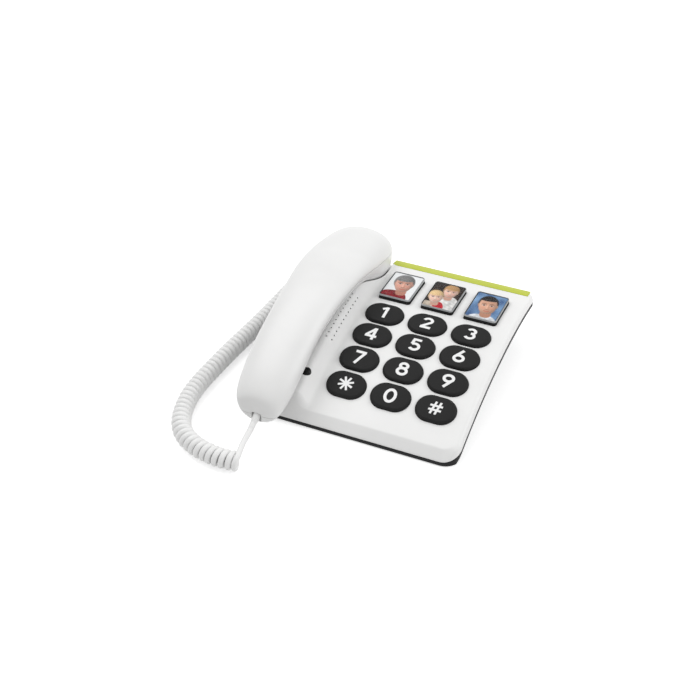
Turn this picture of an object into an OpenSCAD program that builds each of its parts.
// Corded desk telephone with large keys, three picture keys and a curly handset cord.
// Millimetres, +Z up, the keypad's front edge towards -Y, the handset on the left (-X).
// The origin lies on the floor, under the middle of the telephone.

/* [Base] */
// Width of the base
base_w = 183.6; // [176:0.2:200]
// Depth of the base, front wall to back wall
base_d = 191.4; // [186:0.2:205]
// How far the handset reaches out in front of the base
overhang = 22.4; // [16:0.2:26]
// Distance from the origin back to the base's middle
base_shift = 10.7; // [8:0.1:14]
// Radius of the arched top face
face_r = 333; // [315:1:360]
// Slope of the top face at the keypad's centre, in degrees
pad_slope = 12.9; // [12:0.1:14]
// Height of the top face at the keypad's centre
pad_z = 35.2; // [34.5:0.1:40]
// Room between the number keys and the right wall
key_margin = 12.6; // [11:0.2:17]
// Distance from the keypad's centre to the front wall
pad_front = 70.3; // [68:0.1:74]
// Height of the white cover's side wall
cover_h = 6; // [5.5:0.1:7]
// Wall thickness of both mouldings
wall = 2.2; // [1.8:0.1:2.6]
// Radius of the cover's long side edges
edge_r = 4.5; // [3.5:0.1:6]
// Radius of the cover's front and back edges
nose_r = 3.4; // [3:0.1:6]
// Radius of the front corners seen from above
front_corner_r = 13; // [10:0.5:16]
// Radius of the back corners seen from above
back_corner_r = 8; // [7:0.5:10]
// Height of the upright rim of the bottom shell
rim_h = 3.4; // [2.5:0.1:4]
// Lean of the bottom shell's side walls, in degrees from upright
lean = 35; // [30:1:40]
// Depth of the coloured strip along the back edge
strip_d = 9.6; // [8:0.1:12]
// How deep the strip lies in its groove
strip_groove = 1.4; // [1:0.1:1.6]
// How far the strip stands above the face
strip_proud = 0.4; // [0.2:0.1:1]

/* [Cradle] */
// Height of the ridge beside the handset above the face
ridge_h = 8.5; // [7:0.1:9]
// Width of the sloping flank between the keypad and the ridge
flank_run = 13; // [12:0.5:15]
// Width of the cradle, from the left wall to the foot of the flank
cradle_w = 62; // [60:0.2:64]
// Room between the flank's foot and the number keys
flank_gap = 3; // [2:0.2:5]
// Height of the channel under the handset's grip above the face
channel_h = 3; // [2:0.1:4]
// Height of the lip on the cradle's outer side above the face
lip_h = 6; // [5:0.1:7]
// Room around the handset's ear end in its pocket
pocket_room = 1.3; // [1:0.1:1.8]
// Distance from the keypad's centre line back to the middle of the pocket's round end
pocket_back = 80; // [78:0.5:83]
// Distance from the keypad's centre line forward to the saddle under the mouth end
saddle_front = 40; // [36:0.5:44]
// Length of the saddle across the channel
saddle_w = 20; // [14:0.5:24]
// Radius of the saddle's top
saddle_r = 3; // [2:0.1:4]
// Diameter of one sound hole in the flank
sound_hole_d = 1.5; // [1.2:0.1:2]
// Spacing of the sound holes along a row
sound_pitch = 4.6; // [4:0.1:5.2]
// Diameter of the call lamp's lens
lens_d = 7.4; // [6.6:0.1:9]

/* [Keys] */
// Width of the cover's bars between the keys across
key_bridge = 5; // [4:0.1:6]
// Spacing of the keys along the face
key_pitch_s = 26.2; // [25.8:0.1:27]
// Depth of a number key
key_d = 23; // [21:0.1:23.2]
// How far the number keys stand above the face
key_rise = 2.6; // [2:0.1:3.5]
// Radius of a number key's top edge
key_edge_r = 1.8; // [1:0.1:2]
// How far a key goes down
key_travel = 1.6; // [1:0.1:1.8]
// Width of the rim that keeps a key under the cover
key_flange = 1; // [0.8:0.1:1.2]
// Thickness of that rim
flange_t = 1.5; // [1.2:0.1:2]
// Diameter of the stem under a key
stem_d = 7; // [6:0.1:8]

/* [Picture keys] */
// Room between two picture keys
photo_bridge = 9.6; // [8:0.1:11]
// Depth of a picture key
photo_d = 37.6; // [36:0.1:39]
// Corner radius of a picture key
photo_r = 2.6; // [2:0.1:3.5]
// Distance of the picture keys' middle from the keypad's centre along the face
photo_s = 77; // [76:0.1:78]
// Height of the dark key body above the face
photo_rise = 1.2; // [0.8:0.1:2]
// Thickness of the picture card
card_t = 0.4; // [0.3:0.1:0.8]
// Height of the clear cover
window_h = 2.6; // [2:0.1:3.5]
// Rim of the card left bare at each side
card_rim = 1.1; // [0.8:0.1:2]

/* [Handset] */
// Length of the handset
hand_l = 214.4; // [206:0.2:218]
// Distance from the base's left wall to the handset's middle
hand_in = 30.7; // [30.6:0.1:33]
// Half the width of the mouth end
mouth_hw = 23.4; // [21:0.1:24]
// Half the width of the ear end
ear_hw = 29.8; // [27:0.1:30]
// Thickness of the mouth end
mouth_t = 33; // [31:0.1:34]
// Thickness of the grip
grip_t = 24; // [22:0.1:25]
// Thickness of the ear end
ear_t = 41; // [39:0.1:42]
// How far the arched back drops from its highest point to the front end
arch_drop = 40.5; // [39:0.1:42]
// Height of the highest point of the handset
arch_z = 80; // [79.5:0.1:84]
// Distance from the handset's back end to its highest point
arch_back = 71; // [68:0.5:74]
// Wall thickness of the handset's shells
hand_wall = 2.4; // [2:0.1:2.8]
// Share of the thickness above the parting line
split = 0.45; // [0.42:0.01:0.48]
// Diameter of the earpiece cap
ear_cap_d = 36; // [32:0.5:38]
// Diameter of the mouthpiece cap
mouth_cap_d = 25; // [22:0.5:27]
// Distance from the back end to the middle of the earpiece
ear_back = 31; // [30:0.5:33]
// Distance from the front end to the middle of the mouthpiece
mouth_in = 30; // [29:0.5:32]
// How far both caps stand out of the shell
cap_proud = 0.8; // [0.5:0.1:1.2]
// Thickness of both caps
cap_t = 6; // [5:0.1:7]

/* [Hook switch] */
// Diameter of the hook plunger
hook_d = 8; // [6:0.1:10]
// Distance from the earpiece's front edge back to the plunger
hook_back = 15.2; // [12:0.1:18]
// How far the plunger rises when the handset is lifted
hook_rise = 4; // [3:0.1:5]
// Length of the plunger that stays in its guide when it is up
hook_spare = 5.8; // [5:0.1:8]

/* [Sockets and feet] */
// Width of the line socket
line_jack_w = 14; // [12:0.5:16]
// Height of the line socket
line_jack_h = 13; // [11:0.5:14]
// Width of the line socket's opening
line_open_w = 9.8; // [9:0.1:10.2]
// Height of the line socket's opening
line_open_h = 7; // [6.6:0.1:7.4]
// Width of the handset cord's sockets
cord_jack_w = 11; // [10.5:0.5:14]
// Height of the handset cord's sockets
cord_jack_h = 10; // [9.5:0.5:12]
// Width of the cord plug
plug_w = 7.6; // [7:0.1:8]
// Height of the cord plug
plug_h = 6.6; // [6:0.1:7]
// Diameter of a foot
foot_d = 12; // [10:0.5:14]
// Height of the bottom shell above the floor
foot_h = 0.8; // [0.6:0.1:1.2]
// Diameter of a screw head
screw_d = 6; // [5:0.1:7]

/* [Cord] */
// Diameter of the cord
wire_d = 3.7; // [3.4:0.1:3.7]
// Outer diameter of the curls
coil_d = 15.6; // [15:0.1:16.2]
// Number of curls, ending half a turn on
curls = 54.5; // [48.5:1:56.5]

/* [Fits] */
// Gap between pieces that move past each other
move_gap = 0.4; // [0.3:0.05:0.5]
// Gap where a moving piece rests on its seat
rest_gap = 0.3; // [0.25:0.05:0.4]
// Gap around pieces that are fixed in their seats
seat_gap = 0.12; // [0.08:0.02:0.2]
// Seam between the cover and the bottom shell
seam = 0.3; // [0.2:0.05:0.4]

/* [Hidden] */
$fn = 64;
key_names = ["key_star", "key_0", "key_hash", "key_7", "key_8", "key_9",
  "key_4", "key_5", "key_6", "key_1", "key_2", "key_3"];

white = "whitesmoke";
charcoal = [0.16, 0.16, 0.16];
dark = [0.24, 0.24, 0.25];
steel = "silver";

// Where the base, the keypad and the handset lie
base_right = base_w / 2;
base_left = -base_w / 2;
base_back = base_d / 2 + base_shift;
base_front = base_back - base_d;
key_field = base_w - cradle_w - flank_gap - key_margin;
key_w = (key_field - 2 * key_bridge) / 3;
key_pitch_x = key_w + key_bridge;
photo_w = key_pitch_x - photo_bridge;
pad_x = base_right - key_margin - key_field / 2;
pad_y = base_front + pad_front;
arc_y = pad_y + face_r * sin(pad_slope);
arc_z = pad_z - face_r * cos(pad_slope);
hand_x = base_left + hand_in;
hand_front = base_front - overhang;
hand_back = hand_front + hand_l;
arch_y = hand_back - arch_back;
arch_run = arch_y - hand_front;
arch_r = (arch_run * arch_run + arch_drop * arch_drop) / (2 * arch_drop);

// The arched face: slope at a distance s along it, and height at y, d above it
function slope_at(s) = pad_slope - s / face_r * 180 / PI;
function slope_of(y) = asin((arc_y - y) / face_r);
function face_z(y, d = 0) = arc_z + sqrt(pow(face_r + d, 2) - pow(y - arc_y, 2));
function ramp(t) = (1 - cos(180 * t)) / 2;
function ease(t) = let (c = min(max(t, 0), 1)) c * c * (3 - 2 * c);

// The cover's cross-section, from right to left
flank_x = base_left + cradle_w;
crest_right = flank_x - flank_run;
crest_w = 2;
crest_left = crest_right - crest_w;
dip_run = 7;
channel_right = crest_left - dip_run;
lip_w = 5;
lip_right = base_left + edge_r + lip_w;
channel_left = lip_right + dip_run;

function bend(d0, x0, r, from, to) = [for (i = [0:6]) let (a = from + (to - from) * i / 6)
  [d0 + r * sin(a), x0 + r * cos(a)]];
function swell(x0, d0, x1, d1) = [for (i = [0:10]) [d0 + (d1 - d0) * ramp(i / 10), x0 + (x1 - x0) * i / 10]];
function cover_section(inset, drop) = concat(
  [[-drop, base_right - inset]],
  bend(-edge_r, base_right - edge_r, edge_r - inset, 0, 90),
  swell(flank_x, -inset, crest_right, ridge_h - inset),
  swell(crest_left, ridge_h - inset, channel_right, channel_h - inset),
  swell(channel_left, channel_h - inset, lip_right, lip_h - inset),
  bend(lip_h - edge_r, base_left + edge_r, edge_r - inset, 90, 180),
  [[-drop, base_left + inset]]);

// The bottom shell's cross-section: an upright rim, then walls that lean in
rim_low = cover_h + rim_h;
keel = 60;
function shell_section(inset, lift) = [
  [lift - cover_h - seam, base_right - inset],
  [-rim_low, base_right - inset],
  [-keel, base_right - inset - (keel - rim_low) * tan(lean)],
  [-keel, base_left + inset + (keel - rim_low) * tan(lean)],
  [-rim_low, base_left + inset],
  [lift - cover_h - seam, base_left + inset]];

// Turns a cross-section about the face's own axis
turn_back = slope_of(base_back) - 4;
turn_front = slope_of(base_front) + 4;
module along_face(section) {
  translate([0, arc_y, arc_z]) rotate([0, 90, 0]) rotate([0, 0, 180 + turn_back])
    rotate_extrude(angle = turn_front - turn_back) polygon([for (p = section) [face_r + p[0], p[1]]]);
}

// Puts a piece on the face at x, s and d above it, upright to the face
module on_face(x, s, d = 0) {
  translate([0, arc_y, arc_z]) rotate([slope_at(s), 0, 0]) translate([x, 0, face_r + d]) children();
}

// Extrudes an outline of [y, z] points from x0 to x1
module slice(x0, x1) {
  translate([x0, 0, 0]) rotate([90, 0, 90]) linear_extrude(x1 - x0) children();
}

// Rectangle with round corners: radius front at -Y and back at +Y
corner_steps = 8;
function corner(x, y, r, from) = [for (i = [0:corner_steps]) let (a = from + 90 * i / corner_steps)
  [x + r * cos(a), y + r * sin(a)]];
module rounded(w, d, front, back) {
  polygon(concat(
    corner(w / 2 - back, d / 2 - back, back, 0), corner(back - w / 2, d / 2 - back, back, 90),
    corner(front - w / 2, front - d / 2, front, 180), corner(w / 2 - front, front - d / 2, front, 270)));
}

// Side view of the cover: rounded front and back edges, raked ends of the ridge
rake = 62;
head_room = 40;
front_cy = base_front + nose_r;
back_cy = base_back - nose_r;
front_cz = face_z(front_cy, -nose_r);
back_cz = face_z(back_cy, -nose_r);
function turn(cy, cz, r, from, to) = [for (i = [0:6]) let (a = from + (to - from) * i / 6)
  [cy + r * cos(a), cz + r * sin(a)]];
function side_view(inset) = let (
    front = turn(front_cy, front_cz, nose_r - inset, 180, 90 + slope_of(front_cy)),
    back = turn(back_cy, back_cz, nose_r - inset, 90 + slope_of(back_cy), 0))
  concat([[base_front + inset, -keel]], front,
    [front[6] + [head_room / tan(rake), head_room], back[0] + [-head_room / tan(rake), head_room]],
    back, [[base_back - inset, -keel]]);

module plan_form(inset) {
  translate([0, (base_front + base_back) / 2, -keel]) linear_extrude(3 * keel)
    rounded(base_w - 2 * inset, base_d - 2 * inset, front_corner_r - inset, back_corner_r - inset);
}

module cover_form(inset, drop) {
  intersection() {
    along_face(cover_section(inset, drop));
    slice(base_left - 1, base_right + 1) polygon(side_view(inset));
    plan_form(inset);
  }
}

// The handset's loft: u runs from its front end to its back end
hand_pow = 6.4;
ring_pow = 2.15;
cup_pow = 4.4;
stations = 34;
half_sides = 14;
tip = 0.4;
function hand_u(i) = (1 - cos(180 * (i + tip) / (stations + 2 * tip))) / 2;
function hand_end(u) = pow(1 - pow(abs(2 * u - 1), hand_pow), 1 / hand_pow);
function hand_hw(u) = mouth_hw + (ear_hw - mouth_hw) * ease((u - 0.3) / 0.5);
function hand_t(u) = grip_t + (mouth_t - grip_t) * (1 - ease(u / 0.34))
  + (ear_t - grip_t) * ease((u - 0.55) / 0.35);
function hand_top(u) = arch_z - arch_r + sqrt(arch_r * arch_r - pow(hand_front + hand_l * u - arch_y, 2));
function hand_mid(u) = hand_top(u) - split * hand_t(u);
function hand_low(u) = hand_mid(u) - (1 - split) * hand_t(u) * pow(hand_end(u), 0.8);
function low_pow(u) = ring_pow + (cup_pow - ring_pow) * ease((u - 0.72) / 0.16);
function power(c, p) = sign(c) * pow(abs(c), 2 / p);
function hand_point(u, a, inset, shrink) = let (
    e = hand_end(u),
    p = a <= 180 ? ring_pow : low_pow(u),
    half = (a <= 180 ? split : 1 - split) * hand_t(u))
  [hand_x + max(hand_hw(u) * e - inset, 1) * power(cos(a), p),
    hand_front + inset * shrink + (hand_l - 2 * inset * shrink) * u,
    hand_mid(u) + max(half * pow(e, 0.8) - inset, 1) * power(sin(a), p)];

// One half of the handset's hollow shell, from its outer and inner rings
function hand_rings(start, inset) = [for (i = [0:stations], j = [0:half_sides])
  hand_point(hand_u(i), start + 180 * j / half_sides, inset, 1)];
module hand_shell(start, parting) {
  row = half_sides + 1;
  size = (stations + 1) * row;
  function at(i, j, inner = 0) = inner * size + i * row + j;
  outer = [for (p = hand_rings(start, 0)) p + [0, 0, parting]];
  inner = [for (p = hand_rings(start, hand_wall)) p + [0, 0, parting]];
  skin = [for (i = [0:stations - 1], j = [0:half_sides - 1], k = [0, 1])
    let (quad = [at(i, j), at(i, j + 1), at(i + 1, j + 1), at(i + 1, j)])
    k == 0 ? [quad[0], quad[1], quad[2]] : [quad[0], quad[2], quad[3]]];
  lining = [for (t = skin) [t[0] + size, t[2] + size, t[1] + size]];
  rims = [for (i = [0:stations - 1], k = [0, 1])
    k == 0 ? [at(i, 0), at(i + 1, 0), at(i + 1, 0, 1)] : [at(i, 0), at(i + 1, 0, 1), at(i, 0, 1)]];
  rims_far = [for (i = [0:stations - 1], k = [0, 1]) let (j = half_sides)
    k == 0 ? [at(i + 1, j), at(i, j), at(i + 1, j, 1)] : [at(i, j), at(i, j, 1), at(i + 1, j, 1)]];
  ends = [
    [for (j = [half_sides:-1:0]) at(0, j)],
    [for (j = [0:half_sides]) at(stations, j)],
    [for (j = [0:half_sides]) at(0, j, 1)],
    [for (j = [half_sides:-1:0]) at(stations, j, 1)],
    [at(0, 0), at(0, 0, 1), at(0, half_sides, 1), at(0, half_sides)],
    [at(stations, 0), at(stations, half_sides), at(stations, half_sides, 1), at(stations, 0, 1)]];
  polyhedron(concat(outer, inner), concat(skin, lining, rims, rims_far, ends));
}

// Earpiece, mouthpiece and the handset's seats in the cradle
ear_y = hand_back - ear_back;
ear_u = (ear_y - hand_front) / hand_l;
ear_low = hand_low(ear_u) - cap_proud;
mouth_u = mouth_in / hand_l;
mouth_y = hand_front + mouth_in;
step = 0.01;
function low_slope(u) = atan((hand_low(u + step) - hand_low(u - step)) / (2 * step * hand_l));
mouth_tilt = low_slope(mouth_u);
mouth_low = hand_low(mouth_u);
pocket_r = ear_hw + pocket_room;
pocket_y = pad_y + pocket_back;
back_low = min([for (i = [0:stations]) let (u = hand_u(i))
  if (hand_front + hand_l * u > pocket_y) hand_low(u)]);
pocket_z = min(ear_low, back_low) - rest_gap;
pocket_drop = 16;
saddle_y = pad_y - saddle_front;
saddle_u = (saddle_y - hand_front) / hand_l;
saddle_tilt = low_slope(saddle_u);
saddle_reach = saddle_r + rest_gap;
saddle_cy = saddle_y + saddle_reach * sin(saddle_tilt);
saddle_cz = hand_low(saddle_u) - saddle_reach * cos(saddle_tilt);

// The open step at the back left, where the handset's ear end lies
module pocket_form(grow) {
  translate([0, 0, pocket_z - grow]) linear_extrude(2 * keel) {
    translate([hand_x, pocket_y]) circle(pocket_r + grow);
    translate([base_left - 10, pocket_y - pocket_r - grow]) square([hand_x - base_left + 10, 2 * keel]);
    translate([hand_x - 1, pocket_y]) square([pocket_r + grow + 1, keel]);
  }
}

// Rounded bar across the channel that carries the mouth end, rooted half way into the cover's wall
saddle_root = face_z(saddle_cy, channel_h - wall / 2);
module saddle() {
  slice(hand_x - saddle_w / 2, hand_x + saddle_w / 2) {
    translate([saddle_cy, saddle_cz]) circle(saddle_r);
    translate([saddle_cy - saddle_r, saddle_root]) square([2 * saddle_r, saddle_cz - saddle_root]);
  }
}

// Keys: places, outlines and depths
function key_x(i) = pad_x + (i % 3 - 1) * key_pitch_x;
function key_s(i) = (floor(i / 3) - 1.5) * key_pitch_s;
function photo_x(i) = pad_x + (i - 1) * key_pitch_x;
function sag(r) = face_r - wall - sqrt(pow(face_r - wall, 2) - r * r);
function flange_top(d) = wall + rest_gap + sag(d / 2 + key_flange);
board_s = 24;
board_gap = 19.5;
mat_t = 1.2;
board_t = 1.6;
function mat_depth(s) = let (turn = slope_at(s) - slope_at(board_s))
  (board_gap - face_r * (1 - cos(turn))) / cos(turn);
function stem_low(s) = mat_depth(s) - key_travel - move_gap
  - stem_d / 2 * abs(tan(slope_at(s) - slope_at(board_s)));
module stadium(w, d) {
  square([w - d, d], center = true);
  for (x = [-1, 1]) translate([x * (w - d) / 2, 0]) circle(d / 2);
}

// Half of a key's upright section, rounded along its top edge
function key_half(hw, low, top) = concat([[0, low], [hw, low]],
  [for (i = [0:6]) [hw - key_edge_r + key_edge_r * cos(15 * i), top - key_edge_r + key_edge_r * sin(15 * i)]],
  [[0, top]]);
module key_cap(w, d, low, top) {
  half = key_half(d / 2, low, top);
  straight = w - d;
  rotate([90, 0, 90]) linear_extrude(straight, center = true)
    polygon(concat(half, [for (i = [len(half) - 2:-1:1]) [-half[i][0], half[i][1]]]));
  for (x = [0, 1]) mirror([x, 0, 0]) translate([straight / 2, 0, 0]) rotate([0, 0, -90])
    rotate_extrude(angle = 180) polygon(half);
}

module key_stem(s, top) {
  translate([0, 0, -stem_low(s)]) cylinder(d = stem_d, h = stem_low(s) - top - flange_t / 2);
}

module number_key(i) {
  top = flange_top(key_d);
  color(charcoal) on_face(key_x(i), key_s(i)) {
    key_cap(key_w, key_d, -top - flange_t / 2, key_rise);
    translate([0, 0, -top - flange_t]) linear_extrude(flange_t)
      stadium(key_w + 2 * key_flange, key_d + 2 * key_flange);
    key_stem(key_s(i), top);
  }
}

module photo_key(i) {
  top = flange_top(photo_d);
  color(charcoal) on_face(photo_x(i), photo_s) {
    translate([0, 0, -top - flange_t / 2]) linear_extrude(top + flange_t / 2 + photo_rise)
      rounded(photo_w, photo_d, photo_r, photo_r);
    translate([0, 0, -top - flange_t]) linear_extrude(flange_t)
      rounded(photo_w + 2 * key_flange, photo_d + 2 * key_flange, photo_r, photo_r);
    key_stem(photo_s, top);
  }
}

// Picture card, lying on the key body
module photo_card(i) {
  color("lightsteelblue") on_face(photo_x(i), photo_s, photo_rise) linear_extrude(card_t)
    square([photo_w - 2 * card_rim, photo_d - 2 * card_rim], center = true);
}

// Clear cover over the card, hollowed for it below and bevelled above
module photo_window(i) {
  bevel = 0.7;
  low = photo_rise;
  color([0.8, 0.85, 0.9]) on_face(photo_x(i), photo_s, low) difference() {
    union() {
      linear_extrude(window_h - bevel) rounded(photo_w, photo_d, photo_r, photo_r);
      linear_extrude(window_h)
        rounded(photo_w - 2 * bevel, photo_d - 2 * bevel, photo_r - bevel, photo_r - bevel);
    }
    translate([0, 0, -1]) linear_extrude(1 + card_t + seat_gap)
      square([photo_w - 2 * card_rim + 2 * seat_gap, photo_d - 2 * card_rim + 2 * seat_gap], center = true);
  }
}

// Openings in the cover for all the keys
module key_openings() {
  for (i = [0:11]) on_face(key_x(i), key_s(i), -10) linear_extrude(20)
    stadium(key_w + 2 * move_gap, key_d + 2 * move_gap);
  for (i = [0:2]) on_face(photo_x(i), photo_s, -10) linear_extrude(20)
    rounded(photo_w + 2 * move_gap, photo_d + 2 * move_gap, photo_r, photo_r);
}

// Sound holes in two rows along the flank, square to its slope
sound_s = 20;
sound_rows = [[0.92, 12], [0.58, 12]];
function flank_tilt(t) = atan(ridge_h / flank_run * 90 * sin(180 * t) * PI / 180);
module on_flank(t, s) {
  on_face(flank_x - flank_run * t, s, ridge_h * ramp(t)) rotate([0, flank_tilt(t), 0]) children();
}
module sound_holes() {
  for (row = sound_rows, k = [0:row[1] - 1])
    on_flank(row[0], sound_s + (k - (row[1] - 1) / 2) * sound_pitch)
      translate([0, 0, -3 * wall]) cylinder(d = sound_hole_d, h = 4 * wall, $fn = 24);
}

// Call lamp's lens, a domed plug near the front end of the ridge
lens_t = 1;
lens_s = -41.3;
lens_dome = 1.4;
module lens_seat(grow) {
  on_flank(lens_t, lens_s) translate([0, 0, -3 * wall]) cylinder(d = lens_d + 2 * grow, h = 6 * wall);
}
module call_lens() {
  dome_r = (lens_d * lens_d / 4 + lens_dome * lens_dome) / (2 * lens_dome);
  color("black") on_flank(lens_t, lens_s) {
    translate([0, 0, -wall]) cylinder(d = lens_d, h = wall);
    intersection() {
      translate([0, 0, lens_dome - dome_r]) sphere(dome_r);
      translate([0, 0, -0.01]) cylinder(d = lens_d, h = 2 * lens_dome);
    }
  }
}

// Coloured strip in its groove along the back edge
strip_back = 0.6;
strip_right = base_right - edge_r;
strip_w = strip_right - hand_x - pocket_r;
module strip_form(low, high, grow) {
  intersection() {
    along_face([[low, strip_right + grow], [high, strip_right + grow],
      [high, strip_right - strip_w - grow], [low, strip_right - strip_w - grow]]);
    translate([base_left, base_back - strip_d - grow, 0])
      cube([base_w, strip_d - strip_back + 2 * grow, 2 * keel]);
  }
}
module accent_strip() {
  color([0.78, 0.82, 0.26]) strip_form(-strip_groove + seat_gap, strip_proud, 0);
}

// Hook plunger, its hole and its guide under the pocket's floor
hook_flange = 2;
hook_flange_t = 3;
guide_floor = 1.5;
guide_drop = 2;
hook_y = ear_y - ear_cap_d / 2 + hook_back;
hook_top = ear_low - rest_gap;
hook_low = pocket_z - wall - hook_rise - hook_flange_t - hook_spare;
hook_l = hook_top - hook_low;
guide_wall = 1.8;
guide_d = hook_d + 2 * hook_flange + 2 * move_gap + 2 * guide_wall;
guide_top = pocket_z - wall - seat_gap;
guide_low = hook_low - guide_drop;
module hook_plunger() {
  color(charcoal) translate([hand_x, hook_y, hook_low]) {
    cylinder(d = hook_d, h = hook_l);
    cylinder(d = hook_d + 2 * hook_flange, h = hook_flange_t);
  }
}
module hook_guide() {
  color("dimgray") translate([hand_x, hook_y, 0]) difference() {
    translate([0, 0, guide_low]) cylinder(d = guide_d, h = guide_top - guide_low);
    translate([0, 0, guide_low + guide_floor])
      cylinder(d = hook_d + 2 * hook_flange + 2 * move_gap, h = keel);
  }
}

module top_cover() {
  color(white) difference() {
    union() {
      difference() {
        cover_form(0, cover_h);
        difference() {
          cover_form(wall, cover_h + 1);
          pocket_form(wall);
        }
      }
      intersection() {
        cover_form(0, pocket_drop);
        pocket_form(wall);
      }
      saddle();
    }
    pocket_form(0);
    key_openings();
    sound_holes();
    lens_seat(seat_gap);
    strip_form(-strip_groove, keel, seat_gap);
    translate([hand_x, hook_y, 0]) cylinder(d = hook_d + 2 * move_gap, h = 2 * keel);
  }
}

// Bottom shell: side view with an upright front and a leaning back wall
shell_back_z = face_z(base_back, -rim_low);
function shell_view(inset, low) = [[base_front + inset, low], [base_front + inset, 2 * keel],
  [base_back - inset, 2 * keel], [base_back - inset, shell_back_z],
  [base_back - inset - (shell_back_z - low) * tan(lean), low]];
module shell_form(inset, low, lift = 0) {
  intersection() {
    along_face(shell_section(inset, lift));
    slice(base_left - 1, base_right + 1) polygon(shell_view(inset, low));
    plan_form(inset);
  }
}
floor_z = foot_h + wall;
board_low = board_gap + mat_t + board_t + 2 * seat_gap;

// Places on the floor: feet, screws, ballast, sockets and posts
foot_sink = 1;
front_feet_y = base_front + 16;
back_feet_y = base_back - 40;
feet_x = base_right - 32;
screw_y = [base_front + 30, base_back - 62];
screw_x = [base_left + 44, base_right - 44];
board_x0 = pad_x - key_pitch_x - 14;
board_x1 = pad_x + key_pitch_x + 17;
board_s0 = -50;
board_s1 = 98;
post_d = 7;
speaker_r = 17;
speaker_x = flank_x - speaker_r - 2;
speaker_d = wall + 0.5;
speaker_h = 14;
line_x = pad_x + 18;
line_depth = 16;
line_y = base_back - 15;
cord_jack_y = base_back - 19;
cord_jack_x = base_left + 14;
cord_depth = 14;
socket_back = 1.5;

module feet() {
  color(charcoal) for (x = [-feet_x, feet_x], y = [front_feet_y, back_feet_y])
    translate([x, y, 0]) cylinder(d = foot_d, h = foot_h + foot_sink - seat_gap);
}
module cross_slot() {
  for (a = [0, 90]) rotate([0, 0, a]) cube([screw_d * 0.7, 1, 1.6], center = true);
}
screw_sink = 0.3;
screw_head = 1.5;
screw_wall = 1.5;
screw_l = wall + 1.4;
module screw_places() {
  for (x = screw_x, y = screw_y) translate([x, y, 0]) children();
}
module base_screws() {
  color(steel) screw_places() translate([0, 0, foot_h + screw_sink]) difference() {
    union() {
      cylinder(d = screw_d, h = screw_head - seat_gap);
      cylinder(d = screw_d / 2, h = screw_l);
    }
    cross_slot();
  }
}

// Square socket block lying along its own -Y, open towards -Y
module socket(w, h, depth, open_w, open_h, clear) {
  difference() {
    translate([-w / 2, 0, -h / 2]) cube([w, depth, h]);
    translate([-open_w / 2 - clear, -1, -open_h / 2 - clear])
      cube([open_w + 2 * clear, depth + 1 - socket_back, open_h + 2 * clear]);
  }
}
line_low = 10;
line_z = line_low + seat_gap + line_jack_h / 2;
module line_jack() {
  color(charcoal) translate([line_x, line_y, line_z]) rotate([0, 0, 180])
    socket(line_jack_w, line_jack_h, line_depth, line_open_w, line_open_h, 0);
}
cord_low = 14;
cord_z = cord_low + seat_gap + cord_jack_h / 2;
module cord_jack() {
  color(charcoal) translate([cord_jack_x, cord_jack_y, cord_z]) rotate([0, 0, -90])
    socket(cord_jack_w, cord_jack_h, cord_depth, plug_w, plug_h, seat_gap);
}

// Plug with its strain relief, lying along its own -Y
plug_in = 11;
relief_l = 8;
relief_d = wire_d + 2.4;
module plug() {
  translate([-plug_w / 2, 0, -plug_h / 2]) cube([plug_w, plug_in, plug_h]);
  translate([0, 0.01, 0]) rotate([90, 0, 0]) cylinder(d1 = relief_d + 0.4, d2 = relief_d - 1, h = relief_l);
}
module base_plug() {
  color("gainsboro") translate([cord_jack_x, cord_jack_y, cord_z]) rotate([0, 0, -90]) plug();
}

// Steel weight on the floor under the board
ballast_size = [45, 55, 5];
module ballast() {
  color(steel) translate([pad_x - 36, pad_y + 5, floor_z + seat_gap]) cube(ballast_size);
}

// Circuit board and key mat: flat, at the face's slope half way up the keys
module board_form(low, high, grow) {
  on_face(0, board_s) translate([board_x0 - grow, board_s0 - board_s - grow, -low])
    cube([board_x1 - board_x0 + 2 * grow, board_s1 - board_s0 + 2 * grow, low - high]);
}
mat_low = board_gap + mat_t;
collar_wall = 2;
collar_h = 3.5;
module main_board() {
  color("darkgreen") board_form(board_low - seat_gap, mat_low + seat_gap, 0);
}
module all_keys() {
  for (i = [0:11]) on_face(key_x(i), key_s(i), -mat_depth(key_s(i))) children();
  for (i = [0:2]) on_face(photo_x(i), photo_s, -mat_depth(photo_s)) children();
}
module key_mat() {
  color("lightgray") difference() {
    intersection() {
      union() {
        board_form(mat_low, board_gap, -2);
        all_keys() translate([0, 0, -mat_t])
          cylinder(d = stem_d + 2 * move_gap + 2 * collar_wall, h = collar_h + mat_t);
      }
      board_form(mat_low, -keel, 0);
    }
    all_keys() translate([0, 0, -move_gap]) cylinder(d = stem_d + 2 * move_gap, h = 2 * collar_h);
  }
}

// Small loudspeaker behind the sound holes
module loudspeaker() {
  color("dimgray") on_face(speaker_x, sound_s, -speaker_d) rotate_extrude()
    polygon([[0, -2], [speaker_r - 6, -1], [speaker_r - 3, 0], [speaker_r, 0], [speaker_r, -2],
      [speaker_r - 2, -3], [10, -8], [10, -speaker_h], [0, -speaker_h]]);
}

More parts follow.
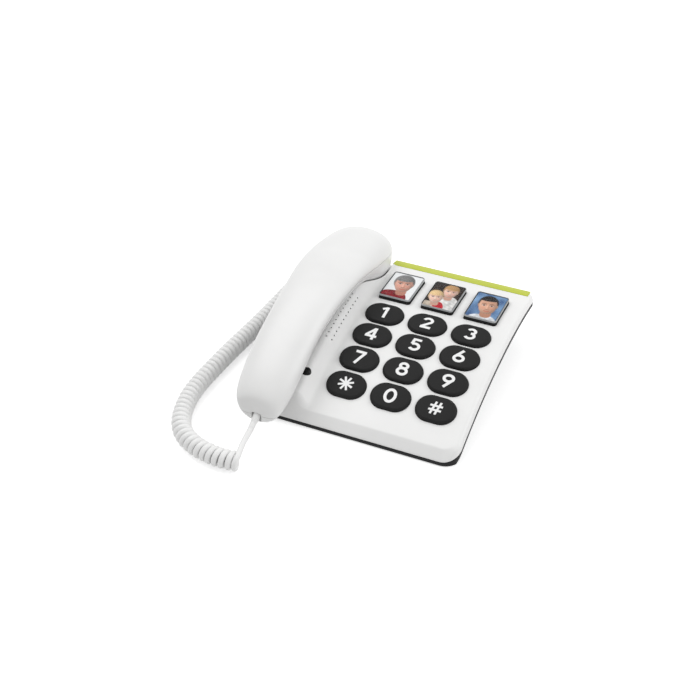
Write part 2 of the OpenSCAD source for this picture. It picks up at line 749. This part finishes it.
// Posts in the bottom shell for the board, the loudspeaker, the hook guide, the screws and the sockets
post_low = foot_h + wall / 2;
speaker_post_d = 12;
module below_floor() {
  translate([0, 0, post_low - 2 * keel]) cube(4 * keel, center = true);
}
module posts() {
  for (x = [board_x0 + 8, board_x1 - 8], s = [board_s0 + 12, board_s1 - 12])
    difference() {
      on_face(x, board_s) translate([0, s - board_s, -2 * keel])
        cylinder(d = post_d, h = 2 * keel - board_low);
      below_floor();
    }
  difference() {
    on_face(speaker_x, sound_s) translate([0, 0, -2 * keel])
      cylinder(d = speaker_post_d, h = 2 * keel - speaker_d - speaker_h - seat_gap);
    below_floor();
  }
  translate([hand_x, hook_y, post_low])
    cylinder(d = guide_d - 2 * guide_wall, h = guide_low - seat_gap - post_low);
  screw_places() translate([0, 0, post_low]) cylinder(d = screw_d + 2 * screw_wall, h = screw_l);
  translate([line_x - line_jack_w / 2, line_y - line_depth, post_low])
    cube([line_jack_w, line_depth, line_low - post_low]);
  translate([cord_jack_x, cord_jack_y - cord_jack_w / 2, post_low])
    cube([cord_depth, cord_jack_w, cord_low - post_low]);
}

module bottom_shell() {
  color(dark) difference() {
    union() {
      difference() {
        shell_form(0, foot_h);
        shell_form(wall, floor_z, wall);
      }
      intersection() {
        posts();
        shell_form(0, foot_h);
      }
    }
    pocket_form(wall + seam);
    for (x = [-feet_x, feet_x], y = [front_feet_y, back_feet_y])
      translate([x, y, -1]) cylinder(d = foot_d + 2 * seat_gap, h = 1 + foot_h + foot_sink);
    screw_places() {
      translate([0, 0, -1]) cylinder(d = screw_d + 2 * seat_gap, h = 1 + foot_h + screw_sink + screw_head);
      cylinder(d = screw_d / 2 + 2 * seat_gap, h = post_low + screw_l + 1);
    }
    translate([line_x - line_jack_w / 2 - seat_gap, line_y - line_depth - seat_gap, line_low])
      cube([line_jack_w + 2 * seat_gap, keel, line_jack_h + 2 * seat_gap]);
    translate([cord_jack_x - keel, cord_jack_y - cord_jack_w / 2 - seat_gap, cord_low])
      cube([keel + cord_depth + seat_gap, cord_jack_w + 2 * seat_gap, cord_jack_h + 2 * seat_gap]);
  }
}

// Handset pieces
module ear_place() {
  translate([hand_x, ear_y, ear_low]) children();
}
module mouth_place() {
  translate([hand_x, mouth_y, mouth_low]) rotate([mouth_tilt, 0, 0]) translate([0, 0, -cap_proud]) children();
}
jack_tilt = 24;
jack_in = 3.2;
jack_drop = 6;
jack_z = hand_mid(0) - jack_drop;
module hand_jack_place() {
  translate([hand_x, hand_front + jack_in, jack_z]) rotate([jack_tilt, 0, 0]) children();
}
hand_depth = 13;
cap_bore = 3 * cap_t;
screw_u = [0.3, 0.66];
module under_hand(u) {
  translate([hand_x, hand_front + hand_l * u, hand_low(u)]) rotate([low_slope(u), 0, 0]) children();
}
module hand_screw_places() {
  for (u = screw_u) under_hand(u) children();
}

module handset_top() {
  color(white) hand_shell(0, seam / 2);
}
module handset_bottom() {
  color(white) difference() {
    hand_shell(180, -seam / 2);
    ear_place() translate([0, 0, -cap_t]) cylinder(d = ear_cap_d + 2 * seat_gap, h = cap_bore);
    mouth_place() translate([0, 0, -cap_t]) cylinder(d = mouth_cap_d + 2 * seat_gap, h = cap_bore);
    hand_jack_place() translate([-cord_jack_w / 2 - seat_gap, -20, -keel])
      cube([cord_jack_w + 2 * seat_gap, 20 + hand_depth + seat_gap, keel + cord_jack_h / 2 + seat_gap]);
    hand_screw_places() translate([0, 0, -5])
      cylinder(d = screw_d + 2 * seat_gap, h = 5 + screw_sink + screw_head);
  }
}
module handset_screws() {
  color(steel) hand_screw_places() translate([0, 0, screw_sink]) difference() {
    cylinder(d = screw_d, h = screw_head - seat_gap);
    cross_slot();
  }
}

// Caps with a ring of sound holes around a middle one
module sound_cap(d, holes, ring) {
  difference() {
    rotate_extrude() polygon([[0, 0], [d / 2 - 1.5, 0], [d / 2, 1.5], [d / 2, cap_t], [0, cap_t]]);
    translate([0, 0, -1]) cylinder(d = 2, h = cap_t + 2, $fn = 24);
    for (k = [0:holes - 1]) rotate([0, 0, 360 * k / holes]) translate([ring, 0, -1])
      cylinder(d = 2, h = cap_t + 2, $fn = 24);
  }
}
module ear_cap() {
  color(white) ear_place() sound_cap(ear_cap_d, 8, ear_cap_d / 4);
}
module mouth_cap() {
  color(white) mouth_place() sound_cap(mouth_cap_d, 4, mouth_cap_d / 5);
}
module receiver() {
  color(steel) ear_place() translate([0, 0, cap_t + seat_gap]) {
    cylinder(d = ear_cap_d - 4, h = 6);
    cylinder(d = ear_cap_d / 2, h = 10);
  }
}
module microphone() {
  color(steel) mouth_place() translate([0, 0, cap_t + seat_gap]) cylinder(d = 10, h = 6);
}

// Steel bar on the grip's floor, turned to its slope
weight_u = 0.5;
weight_size = [20, 32, 6];
weight_lift = 0.9;
module handset_weight() {
  color(steel) under_hand(weight_u) translate([0, 0, hand_wall + weight_lift + weight_size[2] / 2])
    cube(weight_size, center = true);
}
module handset_jack() {
  color(charcoal) hand_jack_place()
    socket(cord_jack_w, cord_jack_h, hand_depth, plug_w, plug_h, seat_gap);
}
module handset_plug() {
  color("gainsboro") hand_jack_place() plug();
}

// The curly cord: straight ends and curls on one unbroken tube
coil_lift = 0.2;
coil_z = coil_d / 2 + coil_lift;
coil_route = [[-55, -148.4], [-67, -149.8], [-78, -149.2], [-90, -146.6], [-103, -140.6], [-113, -131.6],
  [-119.6, -120], [-124, -106.6], [-126.8, -92], [-127.6, -74], [-126.8, -52], [-125.4, -27],
  [-123, 0], [-121, 28], [-119.8, 54], [-119.2, 72], [-118.6, 84]];
per_leg = 8;
function spline(p, k, t) = let (
    a = p[max(k - 1, 0)], b = p[k], c = p[k + 1], d = p[min(k + 2, len(p) - 1)])
  0.5 * (2 * b + (c - a) * t + (2 * a - 5 * b + 4 * c - d) * t * t + (3 * b - a - 3 * c + d) * t * t * t);
function smooth_line(p) = concat(
  [for (k = [0:len(p) - 2], i = [0:per_leg - 1]) spline(p, k, i / per_leg)], [p[len(p) - 1]]);
function sums(v, i = 0, total = 0) = i >= len(v) ? [total] : concat([total], sums(v, i + 1, total + v[i]));
axis_line = smooth_line([for (p = coil_route) [p[0], p[1], coil_z]]);
axis_steps = sums([for (i = [0:len(axis_line) - 2]) norm(axis_line[i + 1] - axis_line[i])]);
axis_l = axis_steps[len(axis_steps) - 1];
function axis_at(l) = lookup_point(min(max(l, 0), axis_l));
function lookup_point(l) = [for (k = [0:2])
  lookup(l, [for (i = [0:len(axis_line) - 1]) [axis_steps[i], axis_line[i][k]]])];
rings_per_curl = 8;
coil_rings = round(curls * rings_per_curl);
coil_r = (coil_d - wire_d) / 2;
up = [0, 0, 1];
function unit(v) = v / norm(v);
function coil_point(i) = let (
    l = axis_l * i / coil_rings,
    along = unit(axis_at(l + 2) - axis_at(l - 2)),
    a = 90 + 360 * i / rings_per_curl)
  axis_at(l) + coil_r * (sin(a) * up + cos(a) * cross(along, up));
coil_line = [for (i = [0:coil_rings]) coil_point(i)];

// Where the cord leaves both plugs, square to them, and its straight ends in wire diameters
straight_ends = [0, 1, 2.2];
hand_exit = [hand_x, hand_front + jack_in, jack_z] - relief_l * [0, cos(jack_tilt), sin(jack_tilt)];
hand_out = -[0, cos(jack_tilt), sin(jack_tilt)];
base_exit = [cord_jack_x - relief_l, cord_jack_y, cord_z];
base_out = [-1, 0, 0];
hand_tail = [[-59.4, -128.4, 13.2], [-57.2, -139, 14]];
base_tail = [[-112.4, 85.2, 2.4], [-106.4, 86.6, 4.6], [-101, 87.2, 10.8]];
start_line = smooth_line(concat([for (k = straight_ends) hand_exit + k * wire_d * hand_out],
  hand_tail, [coil_line[0]]));
end_line = smooth_line(concat([coil_line[coil_rings]], base_tail,
  [for (k = [2:-1:0]) base_exit + straight_ends[k] * wire_d * base_out]));
cord_line = concat(start_line, [for (i = [1:coil_rings]) coil_line[i]],
  [for (i = [1:len(end_line) - 1]) end_line[i]]);
first_curl = len(start_line) - 1;
last_curl = first_curl + coil_rings;

// Outward direction of each ring: from the coil's axis, and upright on the straight ends
function ring_out(i) = i <= first_curl ? up : i >= last_curl ? -up
  : let (k = i - first_curl) coil_line[k] - axis_at(axis_l * k / coil_rings);
sides = 6;
function cord_ring(i) = let (
    n = len(cord_line) - 1,
    t = i == 0 ? hand_out : i == n ? -base_out : unit(cord_line[i + 1] - cord_line[i - 1]),
    raw = ring_out(i),
    out = unit(raw - (raw * t) * t),
    side = cross(t, out))
  [for (j = [0:sides - 1]) let (a = 360 * j / sides)
    cord_line[i] + wire_d / 2 * (cos(a) * out + sin(a) * side)];
module curly_cord() {
  n = len(cord_line) - 1;
  points = [for (i = [0:n], p = cord_ring(i)) p];
  skin = [for (i = [0:n - 1], j = [0:sides - 1], k = [0, 1]) let (
      a = i * sides + j, b = i * sides + (j + 1) % sides, c = a + sides, d = b + sides)
    k == 0 ? [a, c, b] : [b, c, d]];
  color(white) polyhedron(points, concat(skin, [[for (j = [0:sides - 1]) j]],
    [[for (j = [sides - 1:-1:0]) n * sides + j]]));
}

// Least gap of the cord to itself, between points at least half a curl apart along it
cord_sums = sums([for (i = [0:len(cord_line) - 2]) norm(cord_line[i + 1] - cord_line[i])]);
gaps = [for (i = [0:len(cord_line) - 1], j = [i + 1:1:len(cord_line) - 1])
  if (cord_sums[j] - cord_sums[i] > PI * coil_r) norm(cord_line[i] - cord_line[j])];
echo(least_cord_gap = min(gaps) - wire_d);
echo(cord_length = cord_sums[len(cord_sums) - 1], coil_length = axis_l);

top_cover();
bottom_shell();
accent_strip();
call_lens();
loudspeaker();
main_board();
key_mat();
ballast();
line_jack();
cord_jack();
base_plug();
curly_cord();
feet();
base_screws();
hook_guide();
hook_plunger();
for (i = [0:11]) number_key(i);
for (i = [0:2]) photo_key(i);
for (i = [0:2]) photo_card(i);
for (i = [0:2]) photo_window(i);
handset_top();
handset_bottom();
ear_cap();
mouth_cap();
receiver();
microphone();
handset_weight();
handset_jack();
handset_plug();
handset_screws();
